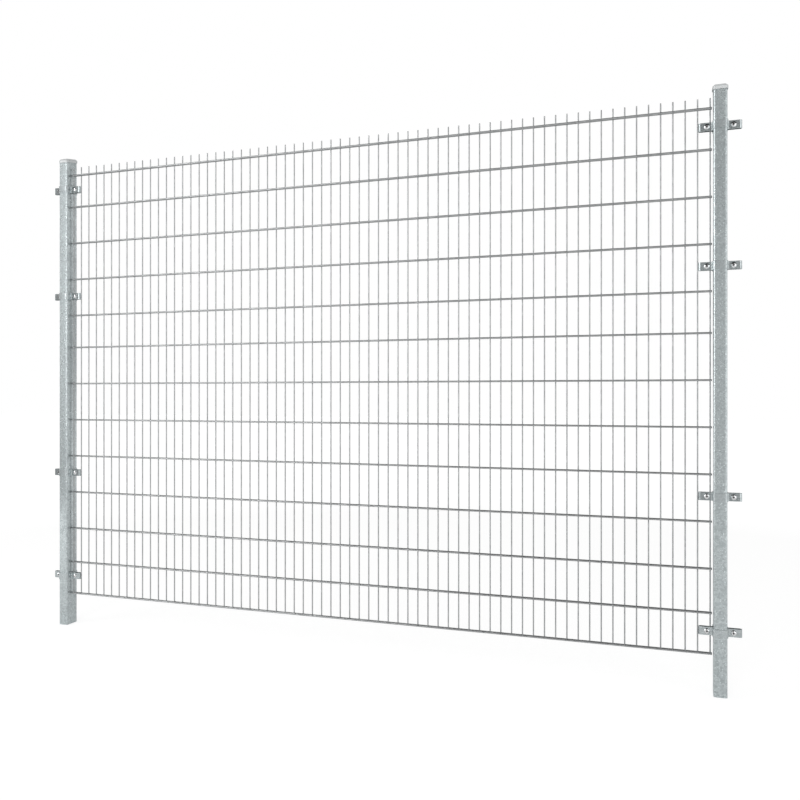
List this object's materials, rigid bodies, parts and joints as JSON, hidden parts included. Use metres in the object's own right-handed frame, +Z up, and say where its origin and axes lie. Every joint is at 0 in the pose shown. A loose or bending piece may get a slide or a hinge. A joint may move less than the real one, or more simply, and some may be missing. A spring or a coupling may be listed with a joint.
{
  "type": "twin wire mesh fence panel",
  "caption": "Welded twin wire mesh fence panel with spiked upright wires and paired level rods, held by bolted strap clamps between two capped hollow steel posts.",
  "frame": {"origin": "on the foot of the left post, in the middle of the wall that faces the panel, under the middle plane of the upright wires", "axes": "+X along the panel from the left post to the right post, +Y away from the front, +Z up"},
  "size_m": [3.5516, 0.0868, 2.5821],
  "materials": {
    "galvanised_wire": "hot-dip galvanised wire, dull grey",
    "galvanised_post": "hot-dip galvanised, satin with spangle",
    "galvanised_strap": "galvanised strip, satin",
    "grey_plastic": "light grey moulded plastic"
  },
  "bodies": {
    "root": {"mesh_section_1": "galvanised_wire", "mesh_section_2": "galvanised_wire", "mesh_section_3": "galvanised_wire", "rear_rods": "galvanised_wire", "left_post": "galvanised_post", "left_cap": "grey_plastic", "left_clamp_bottom_front": "galvanised_strap", "left_clamp_bottom_back": "galvanised_strap", "left_clamp_lower_front": "galvanised_strap", "left_clamp_lower_back": "galvanised_strap", "left_clamp_upper_front": "galvanised_strap", "left_clamp_upper_back": "galvanised_strap", "left_clamp_top_front": "galvanised_strap", "left_clamp_top_back": "galvanised_strap", "right_post": "galvanised_post", "right_cap": "grey_plastic", "right_clamp_bottom_front": "galvanised_strap", "right_clamp_bottom_back": "galvanised_strap", "right_clamp_lower_front": "galvanised_strap", "right_clamp_lower_back": "galvanised_strap", "right_clamp_upper_front": "galvanised_strap", "right_clamp_upper_back": "galvanised_strap", "right_clamp_top_front": "galvanised_strap", "right_clamp_top_back": "galvanised_strap"}
  },
  "joints": []
}
